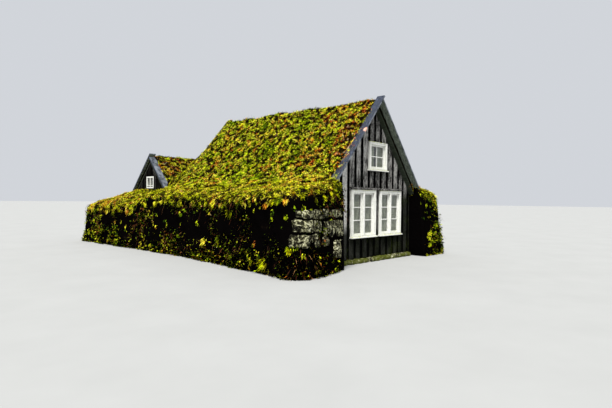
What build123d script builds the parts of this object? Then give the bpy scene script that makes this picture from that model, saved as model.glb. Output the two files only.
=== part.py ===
from build123d import *
import math
import os

os.makedirs("parts", exist_ok=True)

# Turf house: a gabled timber house between thick turf walls, with a lower wing across its back.
# Millimetres. The origin is on the ground under the middle of the front boards.
# +X runs to the right along the front gable, +Y to the back along the ridge, +Z up.

# Main house: the eave is the turf's upper face over the outer face of the side frames
half_width = 1910
house_length = 6000
eave_height = 2121
roof_pitch = 49.2
front_overhang = 290
rear_overhang = 180

# Roof layers, measured square to the slope, from the turf's upper face inward
turf_thickness = 170
roof_board_thickness = 25
rafter_depth = 120
rafter_width = 80
rafter_count = 7
roof_foot_reach = 190
crown_radius = 80
cove_reach = 450
cove_edge = 30

# The turf swells between ridge and eave, by turns more and less along the roof
turf_bay = 850
verge_belly = 12
high_belly = 62
low_belly = 34

# Bargeboards, laid flat on the turf's edge
barge_drop = 28
barge_thickness = 40
barge_width = 230
barge_projection = 160
barge_past_ridge = 100
barge_foot_reach = 150
ridge_joint = 2

# Turf walls of the main house
wall_recess = 550
left_batter = 70
right_batter = 220
left_front_width = 2020
left_bend_width = 1240
left_rear_width = 1110
right_width = 1440
left_nose = 400
left_bend_y = 3400
left_corner_radius = 370
left_bend_radius = 20000
right_corner_radius = 450
left_front_top = 1790
left_bend_top = 1670
left_rear_top = 1670
right_top = 1800
shoulder_radius = 290
right_shoulder_radius = 380
wall_run_past = 300

# Wing across the back, and the turf round it
middle_wall_thickness = 680
wing_half_depth = 1250
wing_eave_height = 1727
wing_pitch = 48.0
wing_overhang = 70
wing_rafter_count = 5
slump_height = 3900
slump_run = 1780
ramp_run = 700
bank_inner_top = 1890
bank_outer_top = 1390
rear_wall_thickness = 1770
rear_inner_top = 1727
rear_outer_top = 1420
left_bank_taper = 60
rear_corner_radius = 400

# Timber front
footing_height = 110
footing_reach = 160
board_wall_thickness = 45
frame_size = 110
stud_width = 55
drip_gap = 63
drip_depth = 70
drip_thickness = 28

# Windows
window_shift = 180
big_window_width = 1070
big_window_height = 1230
big_window_top = 1872
big_window_gap = 210
attic_window_width = 840
attic_window_height = 770
attic_window_clearance = 183
wing_window_width = 620
wing_window_height = 570
wing_window_top = 2435
casing_width = 75
casing_proud = 45
lining_depth = 100
mullion_width = 70
sash_width = 42
sash_depth = 36
sash_setback = 8
glass_thickness = 4
sill_proud = 50
sill_thickness = 42
sill_ear = 30

# Inside
floor_top = 150
floor_board = 30
floor_joist_width = 90
floor_joist_count = 6
plate_width = 140
plate_depth = 120
plate_inset = 10
post_size = 110
post_count = 4
loft_joist_depth = 110
loft_joist_width = 80
loft_board = 25
curtain_rod_radius = 8
curtain_thickness = 24
curtain_drop = 45
curtain_share = 0.44
seat_gap = 0.3

# How far a cutting shape runs past what it cuts, and how near a point counts as on a plane
clear = 500
near = 1
# A face that looks up more steeply than this belongs to a wall's top
top_face_rise = 0.7


def block(x0, x1, y0, y1, z0, z1):
    """A square block between two opposite corners."""
    return Pos((x0 + x1) / 2, (y0 + y1) / 2, (z0 + z1) / 2) * Box(x1 - x0, y1 - y0, z1 - z0)


def prism_along_y(points, y0, y1):
    """An outline in X and Z, carried from y0 to y1."""
    face = Face(Wire.make_polygon([(x, y0, z) for x, z in points]))
    return extrude(face, amount=y1 - y0, dir=(0, 1, 0))


def prism_along_x(points, x0, x1):
    """An outline in Y and Z, carried from x0 to x1."""
    face = Face(Wire.make_polygon([(x0, y, z) for y, z in points]))
    return extrude(face, amount=x1 - x0, dir=(1, 0, 0))


def main_solid(shape):
    """The largest solid of a shape, without the crumbs that a cut leaves."""
    return max(shape.solids(), key=lambda solid: solid.volume)


def save(name, *solids):
    """Writes the solids of one node."""
    shape = solids[0] if len(solids) == 1 else Compound(children=list(solids))
    export_step(shape, f"parts/{name}.step")


class Roof:
    """A gable roof: its eave, pitch and half span, and where its own frame stands in the house."""

    def __init__(self, eave, pitch, half_span, place):
        self.angle = math.radians(pitch)
        self.slope = math.tan(self.angle)
        self.upright = 1 / math.cos(self.angle)
        self.half_span = half_span
        self.foot = half_span + roof_foot_reach
        self.barge_foot = half_span + barge_foot_reach
        self.ridge = eave + self.slope * half_span
        self.place = place

    def height(self, x, depth):
        """Height of the layer that lies depth below the turf's upper face."""
        return self.ridge - depth * self.upright - self.slope * abs(x)

    def layer(self, side, top, bottom, foot, y0, y1):
        """One slope of one layer, from the ridge to foot, between y0 and y1."""
        outline = [
            (0, self.height(0, top)),
            (side * foot, self.height(foot, top)),
            (side * foot, self.height(foot, bottom)),
            (0, self.height(0, bottom)),
        ]
        return self.place * prism_along_y(outline, y0, y1)

    def bargeboard(self, side, y0):
        """A board flat on the turf's edge; the left one runs past the ridge, over the other's end."""
        top = self.height(0, barge_drop)
        bottom = self.height(0, barge_bottom)
        foot = self.barge_foot
        if side < 0:
            end_x = barge_past_ridge * math.cos(self.angle)
            end_z = top + barge_past_ridge * math.sin(self.angle)
            under_x = end_x + barge_thickness * math.sin(self.angle)
            under_z = end_z - barge_thickness * math.cos(self.angle)
            head = [(under_x, under_z), (end_x, end_z)]
        else:
            top_x = (top - bottom) / (2 * self.slope) + ridge_joint
            head = [(ridge_joint, bottom - self.slope * ridge_joint), (top_x, top - self.slope * top_x)]
        end = [(side * foot, self.height(foot, barge_drop)), (side * foot, self.height(foot, barge_bottom))]
        return self.place * prism_along_y(head + end, y0, y0 + barge_width)

    def turf_face(self, side, fall, belly, y):
        """The turf's outline at y: round over the ridge, swelling by belly, coved onto the wall top."""
        sine = math.sin(self.angle)
        cosine = math.cos(self.angle)
        centre = self.height(0, crown_radius)
        crown = [(0, centre + crown_radius),
                 (crown_radius * math.sin(self.angle / 2), centre + crown_radius * math.cos(self.angle / 2)),
                 (crown_radius * sine, centre + crown_radius * cosine)]
        corner = Vector(self.half_span, 0, self.height(self.half_span, 0))
        tilt = math.atan(fall)
        half_turn = (self.angle - tilt) / 2
        cove_radius = cove_reach / math.tan(half_turn)
        up_slope = Vector(-cosine, 0, sine)
        along_wall = Vector(math.cos(tilt), 0, -math.sin(tilt))
        inward = (up_slope + along_wall).normalized()
        lift = Vector(0, 0, cove_edge / 2)
        start = corner + up_slope * cove_reach
        middle = corner + inward * cove_radius * (1 / math.cos(half_turn) - 1) + lift / 2
        end = corner + along_wall * cove_reach + lift
        cove = [(point.X, point.Z) for point in (start, middle, end)]
        swell_x = (crown[2][0] + cove[0][0]) / 2 + belly * sine
        swell_z = (crown[2][1] + cove[0][1]) / 2 + belly * cosine
        swell = [crown[2], (swell_x, swell_z), cove[0]]
        under = [cove[2], (cove[2][0], cove[2][1] - cove_edge),
                 (self.foot, self.height(self.foot, turf_thickness)),
                 (0, self.height(0, turf_thickness)), crown[0]]

        def placed(points):
            return [(side * x, y, z) for x, z in points]

        arcs = [Edge.make_three_point_arc(*placed(points)) for points in (crown, swell, cove)]
        return Face(Wire([*arcs, *Wire.make_polygon(placed(under), close=False).edges()]))

    def turf(self, side, y0, y1, lap, fall):
        """One slope's turf in swelling bays, cut out for the bargeboards; fall(y) is the wall top's fall."""
        bays = 2 * max(1, round((y1 - y0) / (2 * turf_bay)))
        faces = []
        for i in range(bays + 1):
            y = y0 + (y1 - y0) * i / bays
            belly = verge_belly if i in (0, bays) else (low_belly, high_belly)[i % 2]
            faces.append(self.turf_face(side, fall(y), belly, y))
        turf = self.place * loft(faces, ruled=True)
        for start, end in ((y0 - clear, y0 + lap), (y1 - lap, y1 + clear)):
            turf -= self.layer(side, -clear, barge_bottom, self.barge_foot, start, end)
        return main_solid(turf)

    def gable(self, depth, half, base, y0, y1):
        """The triangle and the straight wall below it, under the layer at depth."""
        eave = self.height(half, depth)
        outline = [(-half, base), (half, base), (half, eave), (0, self.height(0, depth)), (-half, eave)]
        return self.place * prism_along_y(outline, y0, y1)


boards_bottom = turf_thickness + roof_board_thickness
barge_bottom = barge_drop + barge_thickness
rafter_bottom = boards_bottom + rafter_depth

wing_front_y = house_length + middle_wall_thickness
wing_ridge_y = wing_front_y + wing_half_depth
wing_rear_y = wing_ridge_y + wing_half_depth
rear_y = wing_rear_y + rear_wall_thickness
side_wall_end = house_length + wall_run_past
ramp_end = side_wall_end + ramp_run

main = Roof(eave_height, roof_pitch, half_width, Pos(0, 0, 0))
wing = Roof(wing_eave_height, wing_pitch, wing_half_depth, Pos(0, wing_ridge_y, 0) * Rot(0, 0, -90))
inner_top = eave_height


class WallTop:
    """The sloping top of a turf wall beside one long side, carried smoothly through stations along Y.

    A station is (y, outer x, outer height, inner height); its inner end is the outer face of the frames.
    """

    def __init__(self, side, stations):
        self.side = side
        self.stations = stations

    def at(self, y):
        """The station at any y, on the straight line between its neighbours."""
        pairs = zip(self.stations, self.stations[1:])
        low, high = next((pair for pair in pairs if y <= pair[1][0]), self.stations[-2:])
        share = (y - low[0]) / (high[0] - low[0])
        return [a + (b - a) * share for a, b in zip(low, high)]

    def fall(self, y):
        """How far the top falls for each millimetre outward."""
        outer_x, outer_z, inner_z = self.at(y)[1:]
        return (inner_z - outer_z) / (outer_x - half_width)

    def face(self, y):
        """What lies over the top at y."""
        outer_x, outer_z, inner_z = self.at(y)[1:]
        far_x = outer_x + clear
        far_z = outer_z - clear * self.fall(y)
        high = main.ridge
        points = [(half_width, inner_z), (far_x, far_z), (far_x, high), (half_width, high)]
        return Face(Wire.make_polygon([(self.side * x, y, z) for x, z in points]))

    def over(self, y0, y1):
        """What lies over the top between y0 and y1."""
        middle = [station[0] for station in self.stations if y0 < station[0] < y1]
        return loft([self.face(y) for y in (y0, *middle, y1)], ruled=not middle)


left_front_x = half_width + left_front_width
left_bend_x = half_width + left_bend_width
left_rear_x = half_width + left_rear_width
left_end_x = left_rear_x - left_bank_taper
right_x = half_width + right_width
nose_y = -wall_recess - left_nose

left_top = WallTop(-1, [
    (nose_y, left_front_x, left_front_top, inner_top),
    (left_bend_y, left_bend_x, left_bend_top, inner_top),
    (side_wall_end, left_rear_x, left_rear_top, inner_top),
])
right_wall_top = WallTop(1, [
    (-wall_recess, right_x, right_top, inner_top),
    (side_wall_end, right_x, right_top, inner_top),
])
left_bank_top = WallTop(-1, [
    (ramp_end, left_rear_x, bank_outer_top, bank_inner_top),
    (wing_rear_y, left_end_x, bank_outer_top, bank_inner_top),
    (rear_y, left_end_x, bank_outer_top, rear_outer_top),
])
right_bank_top = WallTop(1, [
    (ramp_end, right_x, bank_outer_top, bank_inner_top),
    (wing_rear_y, right_x, bank_outer_top, bank_inner_top),
    (rear_y, right_x, bank_outer_top, rear_outer_top),
])


def outline(corners, inset, z):
    """A wall's plan at height z, with its battered sides moved in and its corners rounded."""
    points = [(x + dx * inset, y + dy * inset, z) for x, y, dx, dy, radius in corners]
    face = Face(Wire.make_polygon(points))
    for point, corner in zip(points, corners):
        if corner[4]:
            nearest = min(face.vertices(), key=lambda v: (v.center() - Vector(*point)).length)
            face = face.fillet_2d(corner[4], [nearest])
    return face


def battered(corners, batter):
    """A turf mass up to above the walls' tops, its outer faces leaning in by batter at the eave."""
    height = eave_height + clear
    foot = outline(corners, 0, 0)
    crown = outline(corners, batter * height / eave_height, height)
    return loft([foot, crown], ruled=True)


def rolled(wall, radius, stays):
    """Rounds the outer edge of a wall's top; an edge whose middle stays() names keeps its line."""
    tops = [face for face in wall.faces() if face.normal_at(face.center()).Z > top_face_rise]
    rims = []
    for edge in wall.edges():
        owners = sum(any(edge.is_same(other) for other in face.edges()) for face in tops)
        if owners == 1 and not stays(edge @ 0.5):
            rims.append(edge)
    return fillet(rims, radius)


roof_start = -front_overhang + barge_projection
roof_end = house_length + rear_overhang - barge_projection
barge_lap = barge_width - barge_projection
wing_barge_lap = barge_width - wing_overhang
rear_fall = (rear_inner_top - rear_outer_top) / rear_wall_thickness

left_turf = main.turf(-1, roof_start, roof_end, barge_lap, left_top.fall)
right_turf = main.turf(1, roof_start, roof_end, barge_lap, right_wall_top.fall)
left_boards = main.layer(-1, turf_thickness, boards_bottom, main.foot, roof_start, roof_end)
right_boards = main.layer(1, turf_thickness, boards_bottom, main.foot, roof_start, roof_end)
wing_front_turf = wing.turf(1, -half_width, half_width, wing_barge_lap, lambda x: rear_fall)
wing_rear_turf = wing.turf(-1, -half_width, half_width, wing_barge_lap, lambda x: rear_fall)
wing_front_boards = wing.layer(1, turf_thickness, boards_bottom, wing.foot, -half_width, half_width)
wing_rear_boards = wing.layer(-1, turf_thickness, boards_bottom, wing.foot, -half_width, half_width)

front_left_barge = main.bargeboard(-1, -front_overhang)
front_right_barge = main.bargeboard(1, -front_overhang)
rear_barges = [main.bargeboard(side, house_length + rear_overhang - barge_width) for side in (-1, 1)]
wing_barge_places = (-half_width - wing_overhang, half_width + wing_overhang - barge_width)
wing_barges = [wing.bargeboard(side, x) for x in wing_barge_places for side in (-1, 1)]

roof_pieces = [
    left_turf, right_turf, left_boards, right_boards, front_left_barge, front_right_barge, *rear_barges,
    wing_front_turf, wing_rear_turf, wing_front_boards, wing_rear_boards, *wing_barges,
]


def seated(mass):
    """Lets the feet of the roofs into a turf mass."""
    for piece in roof_pieces:
        mass -= piece
    return main_solid(mass)


def on_inner_face(point):
    """True on the inner face of a side wall or bank."""
    return abs(abs(point.X) - half_width) < near


def side_wall(corners, top, batter, radius):
    """One long turf wall of the main house, before the roof is let into it."""
    wall = battered(corners, batter) - top.over(nose_y - clear, side_wall_end + clear)
    return rolled(wall, radius, lambda p: on_inner_face(p) or p.Y > side_wall_end - near)


def bank(corners, top, batter):
    """The lower turf bank outside one end of the wing and round the rear corner."""
    mass = battered(corners, batter) - top.over(ramp_end - clear, rear_y + clear)
    return rolled(mass, shoulder_radius, lambda p: on_inner_face(p) or p.Y < ramp_end + near)


def ramp(wall, mass):
    """The turf that falls from the end of a side wall to its bank."""
    high = wall.faces().sort_by(Axis.Y)[-1]
    low = mass.faces().sort_by(Axis.Y)[0]
    return loft([high, low], ruled=True)


left_corners = [
    (-half_width, -wall_recess, 0, 1, 0),
    (-left_front_x, nose_y, 1, 1, left_corner_radius),
    (-left_bend_x, left_bend_y, 1, 0, left_bend_radius),
    (-left_rear_x, side_wall_end, 1, 0, 0),
    (-half_width, side_wall_end, 0, 0, 0),
]
right_corners = [
    (half_width, -wall_recess, 0, 1, 0),
    (half_width, side_wall_end, 0, 0, 0),
    (right_x, side_wall_end, -1, 0, 0),
    (right_x, -wall_recess, -1, 1, right_corner_radius),
]
left_bank_corners = [
    (-half_width, ramp_end, 0, 0, 0),
    (-left_rear_x, ramp_end, 1, 0, 0),
    (-left_end_x, rear_y, 1, -1, rear_corner_radius),
    (-half_width, rear_y, 0, -1, 0),
]
right_bank_corners = [
    (half_width, ramp_end, 0, 0, 0),
    (half_width, rear_y, 0, -1, 0),
    (right_x, rear_y, -1, -1, rear_corner_radius),
    (right_x, ramp_end, -1, 0, 0),
]
rear_corners = [
    (-half_width, wing_rear_y, 0, 0, 0),
    (-half_width, rear_y, 0, -1, 0),
    (half_width, rear_y, 0, -1, 0),
    (half_width, wing_rear_y, 0, 0, 0),
]


def rear_wall():
    """The turf wall behind the wing, with its top falling to the back."""
    mass = battered(rear_corners, left_batter)
    far_y = rear_y + clear
    far_z = rear_outer_top - clear * rear_fall
    over = [(wing_rear_y, rear_inner_top), (far_y, far_z), (far_y, main.ridge), (wing_rear_y, main.ridge)]
    mass -= prism_along_x(over, -half_width - clear, half_width + clear)
    return rolled(mass, shoulder_radius, lambda p: on_inner_face(p) or p.Y < wing_rear_y + near)


def middle_wall():
    """The turf between the main house and the wing, heaped against the rear gable."""
    reach = half_width + clear
    end = house_length + slump_run
    slope = prism_along_x([(house_length, 0), (house_length, slump_height), (end, 0)], -reach, reach)
    heap = slope & main.gable(barge_bottom, half_width, 0, house_length, end)
    return heap - wing.gable(0, wing_half_depth, 0, -reach, reach)


left_wall = side_wall(left_corners, left_top, left_batter, shoulder_radius)
right_wall = side_wall(right_corners, right_wall_top, right_batter, right_shoulder_radius)
left_bank = bank(left_bank_corners, left_bank_top, left_batter)
right_bank = bank(right_bank_corners, right_bank_top, right_batter)
save("left_turf_wall", seated(left_wall))
save("right_turf_wall", seated(right_wall))
save("middle_turf_wall", seated(middle_wall()))
save("rear_turf_wall", seated(rear_wall()))

save("left_roof_turf", left_turf)
save("right_roof_turf", right_turf)
save("left_roof_boards", left_boards)
save("right_roof_boards", right_boards)
save("front_left_bargeboard", front_left_barge)
save("front_right_bargeboard", front_right_barge)
save("rear_bargeboards", *rear_barges)
save("wing_front_roof_turf", wing_front_turf)
save("wing_rear_roof_turf", wing_rear_turf)
save("wing_front_roof_boards", wing_front_boards)
save("wing_rear_roof_boards", wing_rear_boards)
save("wing_bargeboards", *wing_barges)


class Window:
    """A window in a boarded wall whose outer face is the plane Y = 0."""

    def __init__(self, centre, width, height, top, leaves, lining):
        self.centre = centre
        self.lining = lining
        self.top = top
        self.base = top - height
        self.half = width / 2
        self.opening = self.half - casing_width
        self.leaves = leaves

    def ring(self, outer, inner, y0, y1):
        """A rectangular ring, with its edges outer and inner in from the casing's edge."""
        whole = block(self.centre - self.half + outer, self.centre + self.half - outer, y0, y1,
                      self.base + outer, self.top - outer)
        return whole - block(self.centre - self.half + inner, self.centre + self.half - inner, y0, y1,
                             self.base + inner, self.top - inner)

    def hole(self, y0, y1):
        """The cut through the boards, for the lining."""
        rebate = casing_width / 2
        return block(self.centre - self.half + rebate, self.centre + self.half - rebate, y0, y1,
                     self.base + rebate, self.top - rebate)

    def casing(self):
        """Casing, lining, sill and, between two leaves, the mullion."""
        frame = self.ring(0, casing_width, -casing_proud, 0)
        frame += self.ring(casing_width / 2, casing_width, 0, self.lining)
        reach = self.half + sill_ear
        slope = [(-casing_proud - sill_proud, self.base), (-casing_proud, self.base),
                 (-casing_proud, self.base + sill_thickness),
                 (-casing_proud - sill_proud, self.base + sill_thickness / 2)]
        frame += prism_along_x(slope, self.centre - reach, self.centre + reach)
        frame += block(self.centre - reach, self.centre + reach, -casing_proud, 0,
                       self.base, self.base + sill_thickness)
        if self.leaves == 2:
            frame += block(self.centre - mullion_width / 2, self.centre + mullion_width / 2,
                           -casing_proud, sash_setback + sash_depth,
                           self.base + casing_width, self.top - casing_width)
        return frame

    def leaf_spans(self):
        """The two ends in X of each opening leaf."""
        left = self.centre - self.opening
        right = self.centre + self.opening
        if self.leaves == 1:
            return [(left, right)]
        post = mullion_width / 2
        return [(left, self.centre - post), (self.centre + post, right)]

    def sashes(self):
        """One frame for each leaf."""
        z0 = self.base + casing_width
        z1 = self.top - casing_width
        frames = []
        for x0, x1 in self.leaf_spans():
            whole = block(x0, x1, sash_setback, sash_setback + sash_depth, z0, z1)
            hole = block(x0 + sash_width, x1 - sash_width, sash_setback, sash_setback + sash_depth,
                         z0 + sash_width, z1 - sash_width)
            frames.append(whole - hole)
        return frames

    def panes(self):
        """One sheet of glass for each leaf."""
        z0 = self.base + casing_width + sash_width
        z1 = self.top - casing_width - sash_width
        y0 = sash_setback + (sash_depth - glass_thickness) / 2
        return [block(x0 + sash_width, x1 - sash_width, y0, y0 + glass_thickness, z0, z1)
                for x0, x1 in self.leaf_spans()]

    def rod(self):
        """The curtain rod between the two sides of the lining."""
        z = self.top - casing_width - curtain_drop
        return Pos(self.centre, rod_y, z) * Rot(0, 90, 0) * Cylinder(curtain_rod_radius, 2 * self.opening)

    def curtains(self):
        """Two plain curtains, drawn to the sides, under the rod."""
        top = self.top - casing_width - curtain_drop - curtain_rod_radius - seat_gap
        width = 2 * self.opening * curtain_share
        y0 = rod_y - curtain_thickness / 2
        z0 = self.base + casing_width + seat_gap
        start = self.centre - self.opening + seat_gap
        end = self.centre + self.opening - seat_gap
        return [block(start, start + width, y0, y0 + curtain_thickness, z0, top),
                block(end - width, end, y0, y0 + curtain_thickness, z0, top)]


rod_y = (sash_setback + sash_depth + lining_depth) / 2
big_offset = (big_window_gap + big_window_width) / 2
attic_corner = window_shift + attic_window_width / 2
attic_window_top = main.height(attic_corner, boards_bottom) - attic_window_clearance
windows = {
    "left": Window(window_shift - big_offset, big_window_width, big_window_height, big_window_top, 2,
                   lining_depth),
    "right": Window(window_shift + big_offset, big_window_width, big_window_height, big_window_top, 2,
                    lining_depth),
    "attic": Window(window_shift, attic_window_width, attic_window_height, attic_window_top, 1, lining_depth),
}

front_boards = main.gable(boards_bottom, half_width, footing_height, 0, board_wall_thickness)
for window in windows.values():
    front_boards -= window.hole(0, board_wall_thickness)
rear_boards = main.gable(boards_bottom, half_width, 0, house_length - board_wall_thickness, house_length)
save("front_gable_boards", front_boards)
save("rear_gable_boards", rear_boards)

for name, window in windows.items():
    save(f"{name}_window_casing", window.casing())
    save(f"{name}_window_sashes", *window.sashes())
    save(f"{name}_window_glass", *window.panes())
    save(f"{name}_window_curtains", *window.curtains())
save("curtain_rods", *[window.rod() for window in windows.values()])

drip_left = windows["left"].centre - windows["left"].half - sill_ear
drip_right = windows["right"].centre + windows["right"].half + sill_ear
drip_height = big_window_top + drip_gap
drip = [(0, drip_height), (0, drip_height - drip_thickness), (-drip_depth, drip_height - 2 * drip_thickness),
        (-drip_depth, drip_height - drip_thickness)]
save("drip_board", prism_along_x(drip, drip_left, drip_right))


def front_footing():
    """The low course of stones under the front boards, battered to the front."""
    back = board_wall_thickness + frame_size
    course = [(-footing_reach, 0), (back, 0), (back, footing_height), (-footing_reach / 2, footing_height)]
    return prism_along_x(course, -half_width, half_width)


save("front_footing", front_footing())


def gable_frame():
    """Sill, corner posts, window studs and tie beam behind the front boards."""
    y0 = board_wall_thickness
    y1 = y0 + frame_size
    reach = half_width
    tie_z = big_window_top - casing_width / 2
    frame = block(-reach, reach, y0, y1, footing_height, footing_height + frame_size)
    frame += block(-reach, reach, y0, y1, tie_z, tie_z + frame_size)
    for x in (-reach, reach - frame_size):
        frame += block(x, x + frame_size, y0, y1, footing_height, tie_z)
    stud_base = footing_height + frame_size
    for x in frame_studs:
        frame += block(x - stud_width / 2, x + stud_width / 2, y0, y1, stud_base, tie_z)
    return frame & main.gable(boards_bottom, half_width, 0, y0, y1)


plate_outer = half_width - plate_inset
plate_inner = plate_outer - plate_width
plate_top = main.height(plate_inner, rafter_bottom)
frame_studs = [
    windows["left"].centre - windows["left"].half + casing_width / 2 - stud_width / 2,
    window_shift,
    windows["right"].centre + windows["right"].half - casing_width / 2 + stud_width / 2,
]
save("front_gable_frame", gable_frame())

rafter_start = board_wall_thickness + frame_size
rafter_stop = house_length - board_wall_thickness
rafter_step = (rafter_stop - rafter_start - rafter_width) / (rafter_count - 1)
rafter_places = [rafter_start + i * rafter_step for i in range(rafter_count)]
for side, name in ((-1, "left"), (1, "right")):
    save(f"{name}_rafters", *[main.layer(side, boards_bottom, rafter_bottom, plate_outer, y, y + rafter_width)
                              for y in rafter_places])

plate_base = plate_top - plate_depth
plates = [block(min(s * plate_inner, s * plate_outer), max(s * plate_inner, s * plate_outer),
                rafter_start, rafter_stop, plate_base, plate_top) for s in (-1, 1)]
rafter_zone = main.gable(rafter_bottom, half_width, 0, rafter_start, rafter_stop)
save("wall_plates", *[plate & rafter_zone for plate in plates])

post_step = (rafter_stop - rafter_start - post_size) / (post_count - 1)
posts = []
for s in (-1, 1):
    for i in range(post_count):
        x = s * (plate_inner + plate_width / 2)
        y = rafter_start + i * post_step
        post = block(x - post_size / 2, x + post_size / 2, y, y + post_size, floor_top, plate_base)
        posts.append(post & rafter_zone)
save("wall_posts", *posts)


def ground_floor():
    """Floor boards on joists that lie on the ground."""
    floor = block(-half_width, half_width, rafter_start, rafter_stop, floor_top - floor_board, floor_top)
    step = (rafter_stop - rafter_start - floor_joist_width) / (floor_joist_count - 1)
    for i in range(floor_joist_count):
        y = rafter_start + i * step
        floor += block(-half_width, half_width, y, y + floor_joist_width, 0, floor_top - floor_board)
    return floor


save("ground_floor", ground_floor())

loft_joists = []
for y in rafter_places[:-1]:
    loft_joists.append(block(-plate_outer, plate_outer, y + rafter_width, y + rafter_width + loft_joist_width,
                             plate_top, plate_top + loft_joist_depth)
                       & main.gable(boards_bottom, half_width, 0, rafter_start, rafter_stop))
save("loft_joists", *loft_joists)

loft_top = plate_top + loft_joist_depth + loft_board
loft_half = (main.height(0, rafter_bottom) - loft_top) / main.slope
save("loft_floor", block(-loft_half, loft_half, rafter_start, rafter_stop, loft_top - loft_board, loft_top))


def wing_window(end_x, side):
    """The small window of one wing gable, turned to face out along side."""
    turn = Pos(end_x, wing_ridge_y, 0) * Rot(0, 0, -90 if side < 0 else 90)
    window = Window(0, wing_window_width, wing_window_height, wing_window_top, 1, board_wall_thickness)
    return turn, window


wing_gables = []
wing_frames = []
wing_glass = []
for side in (-1, 1):
    outer = side * half_width
    y0, y1 = sorted((outer, outer - side * board_wall_thickness))
    boards = wing.gable(boards_bottom, wing_half_depth, 0, y0, y1)
    turn, window = wing_window(outer, side)
    boards -= turn * window.hole(0, board_wall_thickness)
    wing_gables.append(boards)
    wing_frames.append(turn * (window.casing() + window.sashes()[0]))
    wing_glass.append(turn * window.panes()[0])
save("wing_gable_boards", *wing_gables)
save("wing_window_frames", *wing_frames)
save("wing_window_glass", *wing_glass)
left_mass = seated(left_bank + ramp(left_wall, left_bank))
right_mass = seated(right_bank + ramp(right_wall, right_bank))
save("wing_left_turf_bank", main_solid(left_mass - wing_frames[0]))
save("wing_right_turf_bank", main_solid(right_mass - wing_frames[1]))

wing_rafter_start = -half_width + board_wall_thickness
wing_rafter_step = (2 * (half_width - board_wall_thickness) - rafter_width) / (wing_rafter_count - 1)
for side, name in ((1, "front"), (-1, "rear")):
    rafters = []
    for i in range(wing_rafter_count):
        y = wing_rafter_start + i * wing_rafter_step
        rafters.append(wing.layer(side, boards_bottom, rafter_bottom, wing_half_depth, y, y + rafter_width))
    save(f"wing_{name}_rafters", *rafters)
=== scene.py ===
import itertools
import math

import bpy
import numpy as np
from mathutils import Matrix, Vector
from mathutils.bvhtree import BVHTree


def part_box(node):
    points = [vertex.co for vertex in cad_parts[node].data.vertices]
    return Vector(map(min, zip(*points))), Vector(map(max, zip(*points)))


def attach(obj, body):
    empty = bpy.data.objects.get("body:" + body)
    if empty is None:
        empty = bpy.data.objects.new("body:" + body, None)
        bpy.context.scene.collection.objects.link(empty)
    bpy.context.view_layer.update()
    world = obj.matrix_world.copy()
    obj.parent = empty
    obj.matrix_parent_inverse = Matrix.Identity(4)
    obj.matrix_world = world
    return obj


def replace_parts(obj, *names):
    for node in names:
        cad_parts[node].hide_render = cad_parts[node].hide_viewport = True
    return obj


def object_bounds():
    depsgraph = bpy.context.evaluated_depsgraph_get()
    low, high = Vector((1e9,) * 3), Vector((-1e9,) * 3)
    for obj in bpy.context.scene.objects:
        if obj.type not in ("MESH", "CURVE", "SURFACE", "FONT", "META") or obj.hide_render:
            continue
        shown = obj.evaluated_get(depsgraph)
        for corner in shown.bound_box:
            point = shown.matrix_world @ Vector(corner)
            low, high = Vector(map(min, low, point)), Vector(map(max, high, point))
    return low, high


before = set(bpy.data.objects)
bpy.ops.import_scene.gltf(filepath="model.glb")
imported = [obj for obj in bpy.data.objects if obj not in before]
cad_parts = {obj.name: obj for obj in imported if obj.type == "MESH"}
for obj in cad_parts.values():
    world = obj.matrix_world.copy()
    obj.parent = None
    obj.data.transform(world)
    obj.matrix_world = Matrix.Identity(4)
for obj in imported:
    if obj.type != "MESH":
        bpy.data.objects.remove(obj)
cad_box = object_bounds()

# Camera, as the photograph was taken: metres and degrees in the house's own frame
EYE = (-10.635, -7.124, 1.60)
HEADING = 41.79
LOOK_DOWN = 0.494
ROLL = 0.6
FOCAL_PIXELS = 477.0
PHOTO_WIDTH = 612

# The house's own planes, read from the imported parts
HALF_WIDTH, BOARD_DEPTH, GABLE_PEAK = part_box("front_gable_boards")[1]
REAR_GABLE_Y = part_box("rear_gable_boards")[1].y
WING_FRONT_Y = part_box("wing_gable_boards")[0].y
WING_REAR_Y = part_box("wing_gable_boards")[1].y
WING_RIDGE_Y = (WING_FRONT_Y + WING_REAR_Y) / 2
WING_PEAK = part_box("wing_gable_boards")[1].z
ROOF_SLOPE = math.tan(math.radians(49.2))
WING_SLOPE = math.tan(math.radians(48.0))
NOSE_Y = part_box("left_turf_wall")[0].y
SIDE_WALL_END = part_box("left_turf_wall")[1].y
REAR_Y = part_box("rear_turf_wall")[1].y
CASING_TOPS = (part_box("left_window_casing")[1].z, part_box("attic_window_casing")[1].z)
UP = np.array([0.0, 0.0, 1.0])

# A bare chip in the paint of the left verge board
BOARD_CHIP = (-0.77, -0.29, 3.37)

WINDOWS = ("left", "right", "attic")
LATTICE = 32


def rng(seed):
    return np.random.default_rng(seed)


def unit(vectors):
    return vectors / np.maximum(np.linalg.norm(vectors, axis=-1, keepdims=True), 1e-9)


def noise(points, size, seed):
    """Smooth noise from -1 to 1 whose features are about size metres across."""
    lattice = rng(seed).uniform(-1, 1, (LATTICE, LATTICE, LATTICE))
    scaled = points / size
    cell = np.floor(scaled).astype(int)
    part = scaled - cell
    part = part * part * (3 - 2 * part)
    total = np.zeros(len(points))
    for corner in itertools.product((0, 1), repeat=3):
        index = (cell + corner) % LATTICE
        weight = np.prod(np.where(corner, part, 1 - part), axis=1)
        total += lattice[index[:, 0], index[:, 1], index[:, 2]] * weight
    return total


# Materials


def paint(red, green, blue):
    """A colour as it shows on a screen, made linear for the shaders."""
    parts = [v / 255 for v in (red, green, blue)]
    return tuple(v / 12.92 if v <= 0.04045 else ((v + 0.055) / 1.055) ** 2.4 for v in parts) + (1,)


def painted(*stops):
    """Stops of a ramp, each given as position, red, green and blue."""
    return [(position, paint(*colour)) for position, *colour in stops]


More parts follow.
